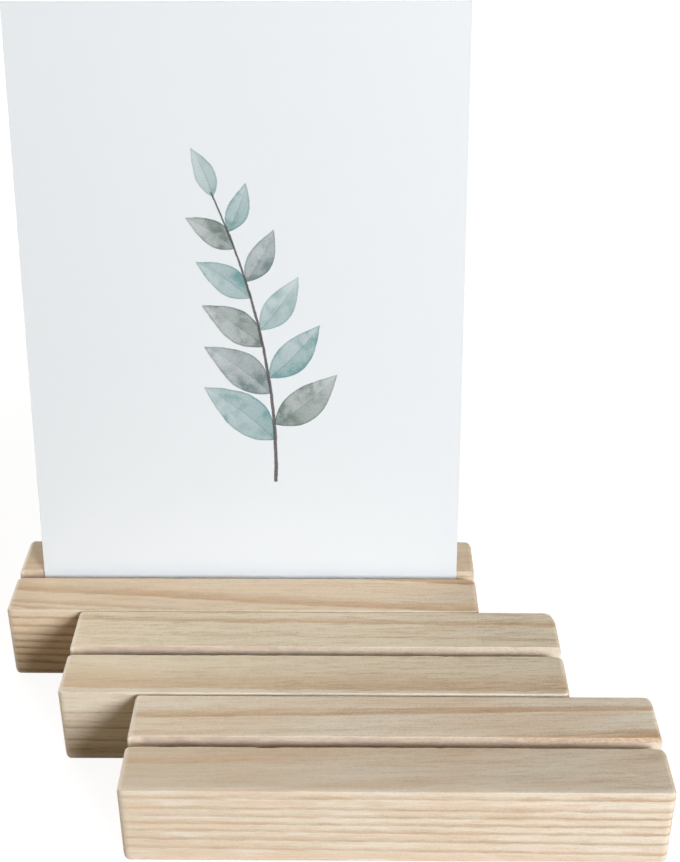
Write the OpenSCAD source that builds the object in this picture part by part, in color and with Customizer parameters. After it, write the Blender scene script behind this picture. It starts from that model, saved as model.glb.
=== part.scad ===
// Place card holders: three slotted timber blocks standing in a staggered row, the rear one
// holding a card. X runs along the slots to the right, Y to the rear and Z up. The origin is
// on the table, under the middle of the whole set.

/* [Blocks] */
// Length of a block, along its slot
block_length = 116; // [80:1:200]
// Depth of a block, front to back
block_depth = 30; // [20:0.5:60]
// Height of a block
block_height = 20; // [14:0.5:40]
// Radius of the sanded upright corners
corner_radius = 1.6; // [0.4:0.1:5]
// Radius of the sanded edges across the ends, top and bottom
end_radius = 1.2; // [0.4:0.1:5]
// Radius of the long edges, eased by a stroke of sandpaper
arris_radius = 0.5; // [0.2:0.1:2]

/* [Slot] */
// Width of the saw cut, square to its walls
slot_width = 3.2; // [1:0.1:6]
// Depth of the saw cut, along its walls
slot_depth = 9.2; // [4:0.1:12]
// Angle that the saw cut leans back from upright
slot_lean = 10.5; // [0:0.5:20]

/* [Row] */
// How far the middle block stands to the right of the rear one
middle_stagger = 18.2; // [0:0.1:60]
// How far the front block stands to the right of the middle one
front_stagger = 18; // [0:0.1:60]
// Gap between the rear and the middle block
rear_gap = 0.4; // [0.2:0.1:10]
// Gap between the middle and the front block
front_gap = 0.8; // [0.2:0.1:10]

/* [Card] */
// Width of the card
card_width = 105; // [60:1:200]
// Length of the card, with the part that sits in the slot
card_length = 148; // [80:1:210]
// Thickness of the card
card_thickness = 0.4; // [0.2:0.05:0.8]
// How far the card's middle lies to the right of the rear block's middle
card_offset = 0.9; // [-5:0.1:5]
// Clearance of the card from the slot's rear wall and its floor
card_clearance = 0.15; // [0.05:0.05:0.2]

/* [Hidden] */

timber = [0.83, 0.74, 0.62];
card_white = [0.93, 0.94, 0.95];
round_sides = 64;
overrun = 1;

// The slot opens in the middle of the block's top
slot_opening = slot_width / cos(slot_lean);
slot_setback = (block_depth - slot_opening) / 2;

// The card's top edge leans out beyond the rear face of the rear block
card_rise = card_length - slot_depth + card_clearance;
card_reach = card_rise * sin(slot_lean) - card_clearance * cos(slot_lean) - slot_setback;

// The whole set is centred over the origin, the card's reach included
set_depth = 3 * block_depth + rear_gap + front_gap;
rear_y = (set_depth - max(card_reach, 0)) / 2;
middle_y = rear_y - block_depth - rear_gap;
front_y = middle_y - block_depth - front_gap;
rear_x = -(middle_stagger + front_stagger) / 2;
middle_x = rear_x + middle_stagger;
front_x = middle_x + front_stagger;

// A rectangle with round corners, centred on the first axis
module rounded_outline(across, along, radius) {
    for (x = [radius - across / 2, across / 2 - radius], y = [radius, along - radius])
        translate([x, y])
            circle(r = radius, $fn = round_sides);
    translate([radius - across / 2, 0])
        square([across - 2 * radius, along]);
    translate([-across / 2, radius])
        square([across, along - 2 * radius]);
}

// The sawn and sanded length of timber, its rear face on y = 0
module blank() {
    intersection() {
        translate([-block_length / 2 - overrun, -block_depth / 2, 0])
            rotate([90, 0, 90])
                linear_extrude(block_length + 2 * overrun)
                    rounded_outline(block_depth, block_height, arris_radius);
        translate([0, -block_depth, -overrun])
            linear_extrude(block_height + 2 * overrun)
                rounded_outline(block_length, block_depth, corner_radius);
        translate([0, overrun, 0])
            rotate([90, 0, 0])
                linear_extrude(block_depth + 2 * overrun)
                    rounded_outline(block_length, block_height, end_radius);
    }
}

// Moves its children to the slot's rear edge and leans them back along the slot's rear wall
module along_slot() {
    translate([0, -slot_setback, block_height])
        rotate([-slot_lean, 0, 0])
            children();
}

// The saw cut, open at both ends of the block
module saw_cut() {
    along_slot()
        translate([-block_length / 2 - overrun, -slot_width, -slot_depth])
            cube([block_length + 2 * overrun, slot_width, slot_depth + slot_width]);
}

module block() {
    color(timber)
        difference() {
            blank();
            saw_cut();
        }
}

module rear_block() {
    translate([rear_x, rear_y, 0])
        block();
}

module middle_block() {
    translate([middle_x, middle_y, 0])
        block();
}

module front_block() {
    translate([front_x, front_y, 0])
        block();
}

// The card stands on the slot's floor and leans on its rear wall
module card() {
    color(card_white)
        translate([rear_x + card_offset, rear_y, 0])
            along_slot()
                translate([-card_width / 2, -card_thickness - card_clearance, card_clearance - slot_depth])
                    cube([card_width, card_thickness, card_length]);
}

rear_block();
middle_block();
front_block();
card();
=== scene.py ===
import math
import bpy
import numpy as np
from mathutils import Matrix, Vector, geometry, noise


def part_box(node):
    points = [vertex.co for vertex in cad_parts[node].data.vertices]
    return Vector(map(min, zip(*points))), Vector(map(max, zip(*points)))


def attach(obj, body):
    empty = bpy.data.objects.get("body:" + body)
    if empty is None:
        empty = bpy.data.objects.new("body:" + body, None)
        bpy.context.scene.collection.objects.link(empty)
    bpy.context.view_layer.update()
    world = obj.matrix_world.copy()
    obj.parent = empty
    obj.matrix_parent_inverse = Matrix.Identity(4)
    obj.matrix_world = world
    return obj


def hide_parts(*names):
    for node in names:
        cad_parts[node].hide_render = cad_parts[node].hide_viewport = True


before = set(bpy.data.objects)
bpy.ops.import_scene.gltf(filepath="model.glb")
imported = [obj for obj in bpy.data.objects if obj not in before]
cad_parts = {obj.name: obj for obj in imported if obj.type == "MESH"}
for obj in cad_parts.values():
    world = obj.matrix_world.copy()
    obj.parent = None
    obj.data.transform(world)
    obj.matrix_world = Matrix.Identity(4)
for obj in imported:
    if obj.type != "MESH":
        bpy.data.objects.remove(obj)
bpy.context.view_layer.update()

# The view is the one a person has who stands in front of the row and looks down on it a little,
# from about 26 cm in front of its middle and 23 cm above the table. The picture is upright, and
# its long side takes the 36 mm.
view_data = bpy.data.cameras.new("view")
view_data.lens = 57.789
view_data.sensor_width = 36.0
view_data.sensor_fit = "AUTO"
view_data.clip_start = 0.01
view_data.clip_end = 50.0
view_place = Matrix.Translation((0.009519, -0.261727, 0.226406))
view_turn = Matrix.Rotation(math.radians(0.730), 4, "Z")
view_tip = Matrix.Rotation(math.radians(90.0 - 29.837), 4, "X")
view_roll = Matrix.Rotation(math.radians(-0.247), 4, "Z")
view = bpy.data.objects.new("view", view_data)
bpy.context.scene.collection.objects.link(view)
view.matrix_world = view_place @ view_turn @ view_tip @ view_roll
bpy.context.scene.camera = view
bpy.context.scene.view_settings.view_transform = "Standard"

# The three blocks, rear, middle and front. Each is one straight length of pale, unfinished timber,
# sawn to size and hand-sanded, with one saw cut that leans back along the middle of its top.
# They stand loose on the table by their flat bases.
MM = 0.001
block_length = 116.0
block_depth = 30.0
block_height = 20.0
corner_round = 1.6
end_round = 1.2
worn_length = 3.0
sanded_off = 0.02
cut_width = 3.2
cut_depth = 9.2
cut_flare = 0.35
lean = math.radians(10.5)

# the cut's half width level with the top, and the two corners of its floor
cut_slope = math.tan(lean)
half_cut = cut_width / 2 / math.cos(lean)
floor_rear_y = half_cut - cut_depth * math.sin(lean)
floor_rear_z = block_height - cut_depth * math.cos(lean)
floor_front_y = floor_rear_y - cut_width * math.cos(lean)
floor_front_z = floor_rear_z + cut_width * math.sin(lean)


def wander(x, step, seed):
    """A smooth random line along a block, from -1 to 1, with a turn about every step."""
    knots = np.random.default_rng(seed).uniform(-1.0, 1.0, int(block_length / step) + 4)
    spot = (x + block_length / 2) / step
    left = np.floor(spot).astype(int)
    way = spot - left
    way = way * way * (3 - 2 * way)
    return knots[left] * (1 - way) + knots[left + 1] * way


def ease(distance, radius):
    """How far a rounded corner has drawn in at a distance from its end."""
    reach = radius - np.minimum(distance, radius)
    return radius - np.sqrt(radius * radius - reach * reach)


def step_toward(start, goal, reach):
    """The steps of a given reach that lead from the places in start to those in goal."""
    way = goal - start
    return way / np.linalg.norm(way, axis=1)[:, None] * reach[:, None]


def block_mesh(name, block):
    """The sawn and sanded block, lofted from cross sections along its length."""
    seed = block["seed"]

    # the cross sections lie close together at the rounded ends, and 0.4 mm apart between them
    end_steps = np.array([0.0, 0.02, 0.06, 0.13, 0.22, 0.33, 0.46, 0.62, 0.8, 1.0, 1.25, 1.6])
    middle_steps = np.linspace(end_steps[-1], block_length - end_steps[-1], 290)
    steps = np.concatenate([end_steps[:-1], middle_steps, block_length - end_steps[-2::-1]])
    x = steps - block_length / 2
    from_end = block_length / 2 - abs(x)
    from_right = block_length / 2 - x

    # the ends are rounded, and the rear right corner is sanded off further than the others
    drawn_front = ease(from_end, corner_round)
    drawn_rear = ease(from_end, np.where(x < 0, block["left_round"], corner_round))
    drawn_z = ease(from_end, end_round)
    worn = block["worn"] * np.clip(1 - from_right / worn_length, 0, 1) ** 2
    front = -block_depth / 2 + drawn_front + sanded_off
    rear = block_depth / 2 - drawn_rear - sanded_off - worn
    top = block_height - drawn_z - sanded_off
    base = drawn_z

    # the walls of the cut wander a little and flare out at the ends
    flare = ease(from_end, cut_flare)
    drop = (top - block_height) * cut_slope
    wall_front = -half_cut - flare + drop + 0.05 * wander(x, 6, seed + 1)
    wall_rear = half_cut + flare + drop + 0.05 * wander(x, 9, seed + 2)

    # sanding the ends also eases the cut's front edge there, most at the right end, and the saw
    # tore some chips out of it
    tear = 0.30 * np.clip(1 - from_end / 2.0, 0, 1) + 0.75 * np.clip(1 - from_right / 4.0, 0, 1) ** 1.5
    for chip_place, chip_length, chip_depth in block["chips"]:
        spot = (steps - chip_place) / chip_length
        shape = np.clip(1 - (2 * spot - 1) ** 2, 0, 1) ** 0.4
        shape = shape * (0.75 + 0.25 * wander(x, 0.7, seed + 12))
        tear = np.maximum(tear, chip_depth * np.where((spot > 0) & (spot < 1), shape, 0))

    # the corners of a cross section, from the front's base over the cut to the rear's base, and
    # how far the edge at each is worn: most by hand at the outer ones, less at the cut
    base_front_wear = 0.45 + 0.10 * wander(x, 14, seed + 3)
    top_front_wear = 0.33 + 0.08 * wander(x, 11, seed + 4) + 0.05 * wander(x, 2.5, seed + 5)
    cut_front_wear = 0.16 + 0.07 * wander(x, 3, seed + 6) + 0.05 * wander(x, 0.9, seed + 7) + tear
    floor_wear = np.full_like(x, 0.15)
    cut_rear_wear = 0.26 + 0.08 * wander(x, 4, seed + 8) + 0.09 * wander(x, 0.8, seed + 9)
    top_rear_wear = 0.27 + 0.06 * wander(x, 12, seed + 10) + worn
    base_rear_wear = 0.45 + 0.10 * wander(x, 13, seed + 11)
    corners = [
        (front, base, base_front_wear),
        (front, top, top_front_wear),
        (wall_front, top, cut_front_wear),
        (floor_front_y - flare, np.full_like(x, floor_front_z), floor_wear),
        (floor_rear_y + flare, np.full_like(x, floor_rear_z), floor_wear),
        (wall_rear, top, cut_rear_wear),
        (rear, top, top_rear_wear),
        (rear, base, base_rear_wear),
    ]
    cut_front, floor_front, floor_rear, cut_rear = 2, 3, 4, 5

    # each corner becomes a short curve, and each face that follows one a run of points
    places = [np.stack([corner_y, corner_z], 1) for corner_y, corner_z, _ in corners]
    wears = [wear for _, _, wear in corners]
    run_points = [11, 14, 12, 3, 12, 14, 11, 12]
    section = []
    arris = []
    sawn = []
    for i, here in enumerate(places):
        k = (i + 1) % len(places)
        before = step_toward(here, places[i - 1], wears[i])
        after = step_toward(here, places[k], wears[i])
        in_cut = i in (floor_front, floor_rear)
        for t in np.linspace(0, 1, 6):
            section.append(here + before * (1 - t) ** 2 + after * t ** 2)
            arris.append(0.0 if in_cut else 1.0 - (2 * t - 1) ** 2)
            into_cut = (i == cut_front and t > 0.6) or (i == cut_rear and t < 0.4)
            sawn.append(1.0 if in_cut or into_cut else 0.0)
        start = here + after
        stop = places[k] + step_toward(places[k], here, wears[k])
        for point in range(1, run_points[i]):
            section.append(start + (stop - start) * point / run_points[i])
            arris.append(0.0)
            sawn.append(1.0 if in_cut or i == cut_front else 0.0)
    section = np.array(section)
    ring_y = section[:, :, 0].T
    ring_z = section[:, :, 1].T
    stations, count = ring_y.shape

    # sanding leaves the faces a little uneven, and the saw leaves its walls rougher
    along_y = np.roll(ring_y, -1, 1) - np.roll(ring_y, 1, 1)
    along_z = np.roll(ring_z, -1, 1) - np.roll(ring_z, 1, 1)
    size = np.hypot(along_y, along_z)
    dent = np.zeros_like(ring_y)
    for s in range(stations):
        for k in range(count):
            px, py, pz = x[s], ring_y[s, k], ring_z[s, k]
            if sawn[k]:
                dent[s, k] = 0.05 * noise.noise(Vector((px * 0.9, py * 1.2, pz * 0.5 + seed)))
            elif pz > base[s] + 0.3:
                dent[s, k] = 0.02 + 0.02 * noise.noise(Vector((px / 16 + seed, py / 5, pz / 5)))
    ring_y = ring_y + along_z / size * dent
    ring_z = np.clip(ring_z - along_y / size * dent, 0, block_height)

    points = np.stack([np.repeat(x[:, None], count, 1), ring_y, ring_z], 2).reshape(-1, 3)
    points = [tuple(point) for point in points]
    faces = []
    for s in range(stations - 1):
        for k in range(count):
            n = (k + 1) % count
            faces.append((s * count + k, s * count + n, (s + 1) * count + n, (s + 1) * count + k))

    # the sawn ends are filled with a net of small triangles, whose inner points keep clear of the
    # cut and of the edges
    net_step = 0.8
    for s in (0, stations - 1):
        outline = [Vector((ring_y[s, k], ring_z[s, k])) for k in range(count)]
        inner = []
        for net_y in np.arange(-12.8, 12.9, net_step):
            for net_z in np.arange(2.0, 18.3, net_step):
                beside_cut = abs(net_y - (net_z - block_height) * cut_slope) > half_cut + 0.9
                if beside_cut or net_z < floor_rear_z - 0.7:
                    inner.append(Vector((net_y, net_z)))
        edges = [(k, (k + 1) % count) for k in range(count)]
        net = geometry.delaunay_2d_cdt(outline + inner, edges, [], 1, 1e-5)
        numbers = []
        for spot, sources in zip(net[0], net[3]):
            if sources and sources[0] < count:
                numbers.append(s * count + sources[0])
            else:
                numbers.append(len(points))
                points.append((x[s], spot.x, spot.y))
        for triangle in net[2]:
            corner_numbers = [numbers[k] for k in triangle]
            if s == 0:
                corner_numbers.reverse()
            faces.append(corner_numbers)

    mesh = bpy.data.meshes.new(name)
    mesh.from_pydata([tuple(c * MM for c in point) for point in points], [], faces)
    end_points = len(points) - stations * count
    for label, values in (("arris", arris), ("sawn", sawn)):
        layer = mesh.attributes.new(label, "FLOAT", "POINT")
        layer.data.foreach_set("value", np.concatenate([np.tile(values, stations), np.zeros(end_points)]))
    mesh.polygons.foreach_set("use_smooth", [True] * len(mesh.polygons))
    mesh.update()
    mesh.validate()
    mesh.set_sharp_from_angle(angle=math.radians(50))
    return mesh


class Wire:
    """An output socket of a shader node; sums on it add Math nodes."""

    def __init__(self, tree, socket=None):
        self.tree = tree
        self.socket = socket

    def add(self, kind, settings, values, output=0):
        """A new node. The last node of a tree has no output, and gives nothing back."""
        node = self.tree.nodes.new(kind)
        for name, value in settings.items():
            setattr(node, name, value)
        for name, value in values.items():
            if isinstance(value, Wire):
                self.tree.links.new(value.socket, node.inputs[name])
            else:
                node.inputs[name].default_value = value
        if len(node.outputs) > 0:
            return Wire(self.tree, node.outputs[output])

    def maths(self, operation, *values):
        return self.add("ShaderNodeMath", {"operation": operation}, dict(enumerate(values)))

    def __add__(self, other):
        return self.maths("ADD", self, other)

    def __radd__(self, other):
        return self.maths("ADD", other, self)

    def __sub__(self, other):
        return self.maths("SUBTRACT", self, other)

    def __rsub__(self, other):
        return self.maths("SUBTRACT", other, self)

    def __mul__(self, other):
        return self.maths("MULTIPLY", self, other)

    def __rmul__(self, other):
        return self.maths("MULTIPLY", other, self)

    def __truediv__(self, other):
        return self.maths("DIVIDE", self, other)

    def __rtruediv__(self, other):
        return self.maths("DIVIDE", other, self)

    def __abs__(self):
        return self.maths("ABSOLUTE", self)

    def between(self, low, high):
        """0 at low, 1 at high, eased at both."""
        values = {"Value": self, "From Min": low, "From Max": high}
        return self.add("ShaderNodeMapRange", {"interpolation_type": "SMOOTHSTEP"}, values)

    def not_negative(self):
        return self.maths("MAXIMUM", self, 0.0)

    def axis(self, letter):
        return self.add("ShaderNodeSeparateXYZ", {}, {0: self}, letter)

    def mix(self, mask, under, over, way="MIX"):
        """The colour under, with over laid on it as far as the mask says."""
        settings = {"data_type": "RGBA", "blend_type": way}
        return self.add("ShaderNodeMix", settings, {0: mask, 6: under, 7: over}, 2)


def bare_desk(owner):
    """The emptied node tree of a material or of the room's world."""
    owner.use_nodes = True
    owner.node_tree.nodes.clear()
    return Wire(owner.node_tree)


def millimetres(desk):
    """The place on a piece, from its own origin, in millimetres."""
    place = desk.add("ShaderNodeTexCoord", {}, {}, "Object")
    return desk.add("ShaderNodeVectorMath", {"operation": "SCALE"}, {0: place, "Scale": 1000.0})


def colour(red, green, blue):
    return (red, green, blue, 1.0)


def timber(block):
    """Pale softwood with nearly flat growth rings, cut at a low slant by the top. Ring depths are
    measured down from the front's top edge, and left and right values belong to the block's ends."""
    seed = block["seed"]
    material = bpy.data.materials.new(block["body"] + "_timber")
    desk = bare_desk(material)
    spot = millimetres(desk)
    x = spot.axis("X")
    y = spot.axis("Y")
    z = spot.axis("Z")
    end_to_end = x / block_length + 0.5
    to_rear = y + block_depth / 2

    # the fibres run about two degrees off the block's own direction
    spot = desk.add("ShaderNodeCombineXYZ", {}, {"X": x, "Y": y - 0.04 * x, "Z": z + 0.01 * x})

    def grain(across, along, turn, detail=2.0, where=spot):
        """Noise whose spots have this size across and along the block, in millimetres."""
        shrink = (1 / along, 1 / across, 1 / across)
        stretched = desk.add("ShaderNodeVectorMath", {"operation": "MULTIPLY"}, {0: where, 1: shrink})
        values = {"Vector": stretched, "W": seed + turn, "Scale": 1.0, "Detail": detail, "Roughness": 0.55}
        return desk.add("ShaderNodeTexNoise", {"noise_dimensions": "4D"}, values)

    def end_values(name):
        left, right = block[name]
        return left + (right - left) * end_to_end * end_to_end

    # where a spot lies on the block
    on_top = z.between(block_height - 1.5, block_height - 0.2) * to_rear.between(0.3, 2.0)
    rear_half = to_rear.between(14.5, 15.5)
    sawn = desk.add("ShaderNodeAttribute", {"attribute_name": "sawn"}, {}, "Fac")
    arris = desk.add("ShaderNodeAttribute", {"attribute_name": "arris"}, {}, "Fac")
    from_end = block_length / 2 - abs(x)

    # how deep in the timber it lies, seen across the rings, which wander and waver
    depth = (block_height - z) * (1 - block["fan"] * end_to_end)
    depth = depth + to_rear * (end_values("rise") + to_rear * end_values("cup"))
    depth = depth + block["tilt"] * end_to_end
    depth = depth + 0.5 * (grain(9.0, 45.0, 1.3) - 0.5)
    depth = depth + 0.42 * (grain(1.6, 14.0, 2.7) - 0.5)
    depth = depth + 0.14 * (grain(0.28, 3.0, 3.1) - 0.5)
    depth = depth + (0.7 - 0.5 * on_top) * (grain(1.2, 4.5, 3.9) - 0.5)

    # a ring darkens slowly with depth and ends at a sharp line, where the next spring's wood starts;
    # on the top in front of the cut the front block's rings fade away to the right
    ring = 0.0
    for level, fade, left, right in block["rings"]:
        edge = 0.10 + 0.16 * fade if level > 0 else 0.05 + 0.08 * fade
        band = depth.between(level - fade, level) * depth.between(level + edge, level)
        ring = ring + band * (left + (right - left) * end_to_end)
    faded = block["faded"] * end_to_end.between(0.22, 0.55)
    ring = ring * (1 - faded * on_top * (1 - rear_half))

    # fine fibre runs with the block, and fainter layers follow the rings
    layered = desk.add("ShaderNodeCombineXYZ", {}, {"X": x, "Y": depth, "Z": 0.12 * to_rear})
    layer = grain(0.26, 40.0, 6.9, where=layered).between(0.34, 0.66)
    fibre = grain(0.34, 2.6, 5.5).between(0.30, 0.70)
    thread = grain(0.75, 11.0, 6.1).between(0.34, 0.66)
    dash = grain(0.5, 6.0, 4.4).between(0.47, 0.36)
    speck = grain(0.34, 0.5, 13.1, 1.0).between(0.30, 0.70)
    broken = grain(1.1, 8.0, 4.9).between(0.35, 0.65)
    line = ring * (0.55 + 0.50 * layer + 0.40 * broken)
    late = line.between(0.45, 1.30)
    fleck = grain(0.24, 2.2, 7.7).between(0.59, 0.68) * (0.15 + 0.85 * late)

    # the wood's own colour: cream to beige, peach in wide streaks, and on the sides also pinkish
    # and pale patches
    beige = grain(2.6, 70.0, 8.3, 1.0).between(0.36, 0.64)
    wood = desk.mix(0.5 * beige + 0.5 * (1 - end_to_end), block["cream"], block["beige"])
    peach = grain(5.0, 40.0, 9.9, 1.0).between(0.46, 0.66)
    wood = desk.mix(peach * block["warm"] * (0.6 + 0.4 * on_top), wood, block["peach"])
    pink = grain(1.3, 16.0, 15.6).between(0.47, 0.64) * (1 - on_top)
    wood = desk.mix(pink * block["blush"], wood, colour(0.90, 0.705, 0.545))
    pale = grain(1.5, 13.0, 16.4).between(0.50, 0.66) * (1 - on_top)
    wood = desk.mix(pale * block["blush"], wood, colour(0.97, 0.89, 0.785))

    # tints: the tops are greyer and yellower in places, the sides cooler, the rings redder
    grey = end_values("front_grey") * (1 - rear_half) + end_values("rear_grey") * rear_half
    wood = desk.mix(grey * on_top * (1 - 0.8 * ring), wood, colour(0.80, 0.765, 0.73), "MULTIPLY")
    wood = desk.mix(end_values("straw") * on_top, wood, colour(1.0, 0.965, 0.90), "MULTIPLY")
    wood = desk.mix(block["cool"] * (1 - on_top), wood, colour(0.94, 0.965, 1.0), "MULTIPLY")
    redder = 0.08 + 0.14 * end_to_end + 0.40 * on_top
    wood = desk.mix(ring * redder, wood, colour(0.80, 0.60, 0.43), "MULTIPLY")

    # the grain darkens all this, more calmly on the left of the top in front of the cut
    calm = on_top * (1 - rear_half) * (1 - end_to_end)
    fine = (0.5 + 0.3 * on_top) * (0.8 + 0.4 * end_to_end) * (1 - 0.35 * calm)
    dark = 0.02 + fine * (0.30 - 0.13 * fibre - 0.13 * layer - 0.16 * speck - 0.14 * thread)
    dark = dark + (0.03 + 0.14 * block["dashes"]) * (1 - 0.6 * calm) * dash
    dark = dark + (0.19 - 0.09 * on_top) * line
    wood = desk.mix(dark.not_negative() * 2.0, wood, colour(0.59, 0.50, 0.39), "MULTIPLY")
    wood = desk.mix(fleck * 0.35, wood, colour(0.44, 0.31, 0.20))

    # the saw left the cut's walls darker and stained, with pale splinters to the right; the stain is
    # painted fainter towards the right end and near both ends, as painted light where more light falls
    # into the cut
    stained = grain(1.8, 4.0, 14.2, 3.0).between(0.35, 0.65)
    painted_lit_ends = from_end.between(4.5, 2.0)
    cut = sawn * (0.97 - 0.44 * stained) * (1 - 0.72 * end_to_end * end_to_end) * (1 - 0.55 * painted_lit_ends)
    wood = desk.mix(cut, wood, colour(0.61, 0.48, 0.39))
    splinter = sawn * grain(0.32, 0.8, 17.3).between(0.46, 0.62)
    splinter = splinter * (0.70 * end_to_end * end_to_end)
    wood = desk.mix(splinter, wood, colour(0.92, 0.77, 0.65))

    # sanded edges are paler where the grain tore; the left end's rounded edges carry a painted highlight
    # and the right end's a painted shade, and the end grain is darker still
    torn = grain(0.4, 1.0, 10.4, 3.0).between(0.42, 0.60)
    wood = desk.mix(arris * (0.08 + 0.50 * torn) * block["bright"], wood, colour(0.92, 0.79, 0.62))
    painted_left_highlight = x.between(1.5 - block_length / 2, 0.4 - block_length / 2)
    wood = desk.mix(painted_left_highlight * 0.75, wood, colour(0.95, 0.88, 0.78))
    painted_right_shade = (block_length / 2 - x).between(0.6, 0.1) * (1 - sawn)
    wood = desk.mix(painted_right_shade * 0.4, wood, colour(0.66, 0.53, 0.38))
    end_grain = from_end.between(0.14, 0.02)
    wood = desk.mix(end_grain * 0.6, wood, colour(0.62, 0.48, 0.33))

    # fibres, rings, the saw's tooth marks and the pores of the end grain stand out by about a tenth
    # of a millimetre
    tooth = grain(2.2, 0.35, 11.3, 1.0)
    pores = end_grain * grain(0.3, 0.3, 12.0)
    height = 0.5 * fibre + 0.2 * thread + 0.4 * late + 1.2 * sawn * tooth + pores
    relief = desk.add("ShaderNodeBump", {}, {"Strength": 0.5, "Distance": 0.1 * MM, "Height": height})
    values = {"Base Color": wood, "Roughness": 0.72 + 0.08 * fibre + 0.1 * sawn, "Normal": relief}
    values["Specular IOR Level"] = 0.35
    finish = desk.add("ShaderNodeBsdfPrincipled", {}, values)
    desk.add("ShaderNodeOutputMaterial", {}, {"Surface": finish})
    return material


# What sets each block apart, in millimetres and in shares of a full effect:
# - chips along the cut's front edge, each with its place from the left end, length and depth
# - worn and left_round: how far the rear corners are sanded, on the right and on the left
# - rings, each with its depth, the width over which it darkens, and its strength at either end
# - fan, rise, cup and tilt: how the rings spread, climb to the rear, bend and sink along the block
# - colours, and how strong each streak and tint is; a pair holds the left and the right end's
blocks = [
    {
        "body": "rear_block",
        "seed": 11,
        "chips": [(20.0, 1.2, 0.15), (71.0, 2.0, 0.2), (101.0, 1.5, 0.25)],
        "worn": 0.2,
        "left_round": 1.6,
        "rings": [
            (-6.0, 0.9, 0.4, 1.1), (-2.5, 1.3, 1.0, 0.9), (-1.0, 0.6, 0.9, 0.0), (-0.5, 0.4, 0.9, 0.0),
            (2.3, 0.9, 1.4, 0.7), (4.9, 1.3, 1.5, 1.0), (7.55, 1.4, 1.7, 1.0), (9.7, 1.2, 1.8, 1.0),
            (11.8, 1.2, 1.8, 1.0), (13.8, 1.1, 2.0, 1.0), (16.1, 1.3, 2.2, 1.0), (18.9, 1.2, 1.8, 0.9),
        ],
        "fan": 0.05,
        "rise": (-0.3, -0.3),
        "cup": (0.0, 0.0),
        "tilt": -2.7,
        "cream": colour(0.86, 0.72, 0.55),
        "beige": colour(0.845, 0.675, 0.48),
        "peach": colour(0.86, 0.66, 0.46),
        "warm": 0.7,
        "blush": 0.25,
        "cool": 0.5,
        "dashes": 0.3,
        "front_grey": (0.0, 0.0),
        "rear_grey": (0.0, 0.0),
        "straw": (0.0, 0.0),
        "faded": 0.0,
        "bright": 0.7,
    },
    {
        "body": "middle_block",
        "seed": 27,
        "chips": [(33.0, 2.6, 0.2), (88.0, 1.4, 0.3)],
        "worn": 1.4,
        "left_round": 0.8,
        "rings": [
            (-7.7, 0.8, 0.8, 1.0), (-6.1, 0.4, 0.3, 0.5), (-0.6, 2.6, 0.85, 0.9), (1.6, 0.5, 0.25, 0.8),
            (3.3, 0.6, 0.25, 0.8), (6.2, 0.9, 1.2, 0.9), (8.7, 0.8, 0.7, 0.8), (10.7, 1.2, 1.9, 0.9),
            (14.3, 1.0, 2.1, 0.9), (17.8, 3.6, 1.3, 0.9),
        ],
        "fan": 0.05,
        "rise": (-0.29, -0.3),
        "cup": (0.0, 0.0),
        "tilt": -0.35,
        "cream": colour(0.90, 0.80, 0.64),
        "beige": colour(0.88, 0.775, 0.61),
        "peach": colour(0.86, 0.69, 0.51),
        "warm": 0.25,
        "blush": 0.35,
        "cool": 1.0,
        "dashes": 0.8,
        "front_grey": (0.0, 0.2),
        "rear_grey": (0.0, 0.1),
        "straw": (0.7, 0.2),
        "faded": 0.0,
        "bright": 0.5,
    },
    {
        "body": "front_block",
        "seed": 43,
        "chips": [
            (7.2, 0.9, 0.3), (8.8, 2.4, 0.22), (28.0, 5.0, 0.5), (46.0, 1.0, 0.15), (67.0, 1.6, 0.4),
        ],
        "worn": 0.3,
        "left_round": 0.9,
        "rings": [
            (-10.1, 0.4, 0.0, 0.7), (-9.44, 1.4, 1.1, 1.1), (-7.1, 0.6, 0.5, 0.0), (-5.2, 1.0, 0.0, 0.9),
            (-4.6, 0.8, 0.0, 0.9), (-4.1, 0.7, 0.0, 0.9), (-3.4, 2.4, 0.9, 1.0), (1.9, 1.3, 0.8, 1.3),
            (4.75, 1.3, 0.7, 1.2), (6.8, 1.2, 0.8, 1.3), (8.9, 1.2, 0.9, 1.3), (11.0, 1.2, 0.9, 1.2),
            (13.4, 1.3, 0.85, 1.2), (16.0, 1.2, 0.75, 1.2),
        ],
        "fan": 0.10,
        "rise": (-0.41, -0.0437),
        "cup": (0.0, -0.0127),
        "tilt": 0.0,
        "cream": colour(0.95, 0.865, 0.735),
        "beige": colour(0.855, 0.73, 0.56),
        "peach": colour(0.87, 0.70, 0.53),
        "warm": 0.75,
        "blush": 0.65,
        "cool": 0.0,
        "dashes": 0.15,
        "front_grey": (0.68, 0.50),
        "rear_grey": (0.0, 0.0),
        "straw": (0.2, 0.4),
        "faded": 0.6,
        "bright": 0.35,
    },
]
for block in blocks:
    body = block["body"]
    low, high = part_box(body)
    mesh = block_mesh(body + "_wood", block)
    mesh.materials.append(timber(block))
    piece = bpy.data.objects.new(body + "_wood", mesh)
    bpy.context.scene.collection.objects.link(piece)
    piece.location = ((low.x + high.x) / 2, (low.y + high.y) / 2, 0.0)
    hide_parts(body)
    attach(piece, body)

# The card is one sheet of stiff, smooth white card stock, printed on its front with a leafy twig
# in thin washes of grey-green. It stands in the rear block's cut by its own weight and leans back.
card_width = 105.0
card_length = 148.0
card_thickness = 0.4
card_bow = 0.2
card_edge = 0.07


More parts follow.
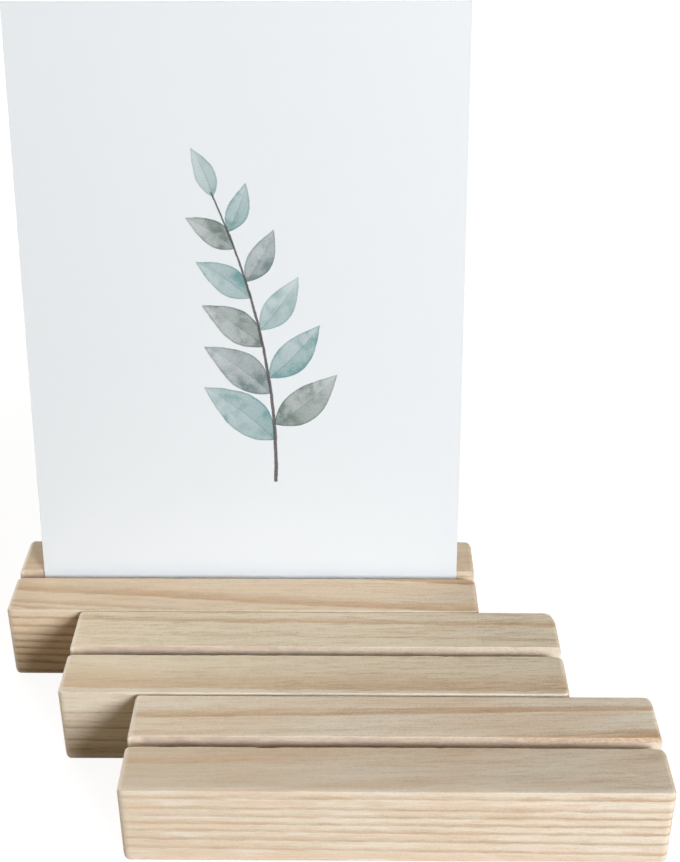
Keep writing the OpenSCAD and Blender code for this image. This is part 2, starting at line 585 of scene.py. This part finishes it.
def card_mesh(name):
    """A closed thin sheet, bowed very slightly to the front, with eased edges."""
    across = np.linspace(-card_width / 2, card_width / 2, 43)
    up = np.linspace(0.0, card_length, 61)
    depth_share = {"front": -0.5, "edge": 0.0, "back": 0.5}
    points = []
    faces = []
    numbers = {}

    def point(i, k, layer):
        key = (i, k, layer)
        if key not in numbers:
            px = across[i]
            pz = up[k]
            if layer != "edge":
                px = min(max(px, across[0] + card_edge), across[-1] - card_edge)
                pz = min(max(pz, up[0] + card_edge), up[-1] - card_edge)
            py = depth_share[layer] * card_thickness - card_bow * math.sin(math.pi * pz / card_length)
            numbers[key] = len(points)
            points.append((px * MM, py * MM, pz * MM))
        return numbers[key]

    last_i = len(across) - 1
    last_k = len(up) - 1
    for i in range(last_i):
        for k in range(last_k):
            cell = [(i, k), (i + 1, k), (i + 1, k + 1), (i, k + 1)]
            faces.append([point(a, b, "front") for a, b in cell])
    front_faces = len(faces)
    for i in range(last_i):
        for k in range(last_k):
            cell = [(i, k), (i, k + 1), (i + 1, k + 1), (i + 1, k)]
            faces.append([point(a, b, "back") for a, b in cell])
    rim = [(i, 0) for i in range(last_i)] + [(last_i, k) for k in range(last_k)]
    rim = rim + [(i, last_k) for i in range(last_i, 0, -1)] + [(0, k) for k in range(last_k, 0, -1)]
    for here, after in zip(rim, rim[1:] + rim[:1]):
        for near, far in (("front", "edge"), ("edge", "back")):
            faces.append([point(*after, near), point(*here, near), point(*here, far), point(*after, far)])
    mesh = bpy.data.meshes.new(name)
    mesh.from_pydata(points, [], faces)
    mesh.polygons.foreach_set("use_smooth", [True] * len(faces))
    mesh.polygons.foreach_set("material_index", [0] * front_faces + [1] * (len(faces) - front_faces))
    mesh.update()
    mesh.set_sharp_from_angle(angle=math.radians(30))
    return mesh


# the printed twig: its stem runs up from the foot and bends over to the left, with leaves in pairs
stem_foot = 34.0
stem_tip = 106.0
stem_rise = stem_tip - stem_foot
stem_foot_x = 7.0
stem_slant = 3.0
stem_bend = 17.0
sage = colour(0.19, 0.24, 0.21)
teal = colour(0.21, 0.38, 0.38)
slate = colour(0.22, 0.28, 0.28)
mist = colour(0.36, 0.50, 0.49)
vein_ink = colour(0.20, 0.25, 0.24)
stem_ink = colour(0.085, 0.068, 0.072)


def stem_at(height):
    """How far to the right the stem is at a height on the card."""
    way = (height - stem_foot) / stem_rise
    return stem_foot_x + stem_slant * way - stem_bend * way * way


def stem_angle(way):
    """The stem's direction at a share of the way up."""
    return math.atan2(stem_rise, stem_slant - 2 * stem_bend * way)


# each leaf has its height on the stem, its direction, length, width as a share of that, and wash
leaf_pairs = [(teal, sage), (slate, teal), (sage, mist), (teal, slate), (sage, teal)]
leaves = []
for pair, (left_wash, right_wash) in enumerate(leaf_pairs):
    way = 0.15 + 0.165 * pair
    height = stem_foot + way * stem_rise
    length = 22.0 - 2.1 * pair
    left_angle = stem_angle(way) + math.radians(50 - 3 * pair)
    right_angle = stem_angle(way) - math.radians(52 - 3 * pair)
    leaves.append((height, left_angle, length, 0.47, left_wash))
    leaves.append((height + 4.0, right_angle, length * 0.92, 0.45, right_wash))
leaves.append((stem_tip - 1.5, stem_angle(1.0), 12.5, 0.42, mist))


def card_stock(name, printed):
    """Smooth, matt white card, with the twig on it where it is printed."""
    material = bpy.data.materials.new(name)
    desk = bare_desk(material)
    spot = millimetres(desk)

    def mottle(size, turn, detail=2.0):
        values = {"Vector": spot, "W": turn, "Scale": 1 / size, "Detail": detail, "Roughness": 0.6}
        return desk.add("ShaderNodeTexNoise", {"noise_dimensions": "4D"}, values)

    pulp = mottle(0.6, 1.0, 4.0)
    cloud = mottle(22.0, 2.0)
    paper = desk.mix(cloud, colour(0.832, 0.885, 0.930), colour(0.842, 0.890, 0.933))
    if printed:
        # the brush wavers, and its wash blooms, pools and catches on the paper's grain
        x = spot.axis("X")
        z = spot.axis("Z")
        brush_x = x + 0.5 * (mottle(4.0, 3.0) - 0.5) + 0.25 * (mottle(1.0, 4.0) - 0.5)
        brush_z = z + 0.5 * (mottle(4.0, 5.0) - 0.5)
        flat = desk.add("ShaderNodeCombineXYZ", {}, {"X": brush_x, "Y": brush_z})
        bloom = mottle(3.2, 6.0, 3.0).between(0.36, 0.66)
        grit = mottle(0.35, 7.0, 3.0).between(0.3, 0.7)
        pool = mottle(7.0, 8.0).between(0.35, 0.65)
        for height, angle, length, width, wash in leaves:
            # u runs along the leaf and v across it, in its own lengths
            root = (stem_at(height), height, 0.0)
            values = {"Vector": flat, "Location": root, "Rotation": (0.0, 0.0, angle)}
            values["Scale"] = (length, length, length)
            leaf = desk.add("ShaderNodeMapping", {"vector_type": "TEXTURE"}, values)
            u = leaf.axis("X")
            v = leaf.axis("Y")
            swell = (u * (1 - u)).not_negative()
            v = v + 0.16 * swell
            half = width * 2.2 * swell * (1.12 - 0.55 * u)
            inward = (half - abs(v)) * length
            mask = inward.between(-0.02, 0.16)
            edge = inward.between(0.75, 0.05)
            far_half = v.between(0.006, -0.006)
            vein = (abs(v) * length).between(0.16, 0.04) * u.between(0.95, 0.35)
            strength = 0.60 + 0.42 * bloom * pool + 0.22 * edge + 0.18 * grit
            strength = strength + 0.12 * far_half - 0.30 * u
            paper = desk.mix(mask * strength, paper, wash, "MULTIPLY")
            paper = desk.mix(mask * vein * 0.5, paper, vein_ink)
        way = (brush_z - stem_foot) / stem_rise
        reach = 0.50 - 0.26 * way + 0.10 * (mottle(1.6, 9.0) - 0.5)
        stem = (reach - abs(brush_x - stem_at(brush_z))).between(-0.05, 0.12)
        stem = stem * z.between(stem_foot - 0.4, stem_foot) * z.between(stem_tip, stem_tip - 0.6)
        paper = desk.mix(stem * (0.84 + 0.16 * grit), paper, stem_ink)
    relief = desk.add("ShaderNodeBump", {}, {"Strength": 0.25, "Distance": 0.05 * MM, "Height": pulp})
    values = {"Base Color": paper, "Roughness": 0.55 + 0.1 * pulp, "Normal": relief}
    values["Specular IOR Level"] = 0.3
    finish = desk.add("ShaderNodeBsdfPrincipled", {}, values)
    desk.add("ShaderNodeOutputMaterial", {}, {"Surface": finish})
    return material


low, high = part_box("card")
card = bpy.data.objects.new("card_sheet", card_mesh("card_sheet"))
bpy.context.scene.collection.objects.link(card)
foot_y = low.y + card_thickness / 2 * math.cos(lean) * MM
card.location = ((low.x + high.x) / 2, foot_y, low.z)
card.rotation_euler = (-lean, 0.0, 0.0)
card.data.materials.append(card_stock("card_front", True))
card.data.materials.append(card_stock("card_bare", False))
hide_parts("card")
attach(card, "card")

# The table and the room: a plain white surface under soft daylight, with the main light from a
# window to the right and in front. They aren't part of the set.
table_half = 4.0
table_cells = 8


def seen_rays(desk):
    """1 for what the camera sees, straight, mirrored or through glass, and 0 for light on the set."""
    kinds = ("Is Camera Ray", "Is Glossy Ray", "Is Transmission Ray")
    straight, mirrored, through = [desk.add("ShaderNodeLightPath", {}, {}, kind) for kind in kinds]
    return desk.maths("MINIMUM", straight + mirrored + through, 1.0)


table_lines = np.linspace(-table_half, table_half, table_cells + 1)
table_points = [(tx, ty, 0.0) for ty in table_lines for tx in table_lines]
table_faces = []
for row in range(table_cells):
    for column in range(table_cells):
        first = row * (table_cells + 1) + column
        above = first + table_cells + 1
        table_faces.append((first, first + 1, above + 1, above))
table_mesh = bpy.data.meshes.new("table")
table_mesh.from_pydata(table_points, [], table_faces)
table = bpy.data.objects.new("table", table_mesh)
bpy.context.scene.collection.objects.link(table)
white = bpy.data.materials.new("white_table")
desk = bare_desk(white)

# the camera sees white, less strongly near the set, so that its shadow shows there, and what the
# table throws back on the set is the light of a darker, warmer surface
camera_ray = desk.add("ShaderNodeLightPath", {}, {}, "Is Camera Ray")
surface = desk.mix(camera_ray, colour(0.35, 0.265, 0.15), colour(0.86, 0.86, 0.86))
matt = desk.add("ShaderNodeBsdfDiffuse", {}, {"Color": surface})
glow = desk.add("ShaderNodeEmission", {}, {"Color": colour(1.0, 1.0, 1.0), "Strength": 1.2})
ground = desk.add("ShaderNodeTexCoord", {}, {}, "Object")
away = desk.add("ShaderNodeVectorMath", {"operation": "LENGTH"}, {0: ground}, "Value")
white_out = 0.75 + 0.25 * away.between(0.12, 0.45)
cover = desk.add("ShaderNodeMixShader", {}, {0: seen_rays(desk) * white_out, 1: matt, 2: glow})
desk.add("ShaderNodeOutputMaterial", {}, {"Surface": cover})
table_mesh.materials.append(white)

# each lamp has its direction from the set, its distance, its width, its power and its tone
lamps = [
    ("window", (0.7, -1.0, 0.46), 1.45, 0.62, 20.8, (0.98, 1.0, 1.03)),
    ("ceiling", (-0.6, -0.25, 1.0), 0.85, 0.7, 1.2, (1.0, 0.92, 0.80)),
    ("reflector", (-1.0, 0.08, 0.05), 1.3, 0.3, 1.8, (1.0, 0.92, 0.80)),
    ("side_window", (1.0, 0.15, 0.10), 1.3, 0.6, 2.2, (1.0, 0.99, 0.96)),
    ("rear_window", (-1.0, 1.0, 0.09), 1.4, 1.0, 20.0, (1.0, 0.99, 0.97)),
]
lamp_aim = Vector((0.0, 0.0, 0.04))
for name, way, distance, width, power, tone in lamps:
    lamp_data = bpy.data.lights.new(name, "AREA")
    lamp_data.shape = "DISK"
    lamp_data.size = width
    lamp_data.energy = power
    lamp_data.color = tone
    lamp = bpy.data.objects.new(name, lamp_data)
    bpy.context.scene.collection.objects.link(lamp)
    toward = Vector(way).normalized()
    lamp.location = toward * distance + lamp_aim
    lamp.rotation_euler = toward.to_track_quat("Z", "Y").to_euler()

# the room gives a weak, warm light from all sides, and the camera sees it as plain white
room = bpy.data.worlds.new("room")
bpy.context.scene.world = room
desk = bare_desk(room)
air = desk.add("ShaderNodeBackground", {}, {"Color": colour(1.0, 0.82, 0.58), "Strength": 0.045})
backdrop = desk.add("ShaderNodeBackground", {}, {"Color": colour(1.0, 1.0, 1.0), "Strength": 1.0})
sky = desk.add("ShaderNodeMixShader", {}, {0: seen_rays(desk), 1: air, 2: backdrop})
desk.add("ShaderNodeOutputWorld", {}, {"Surface": sky})
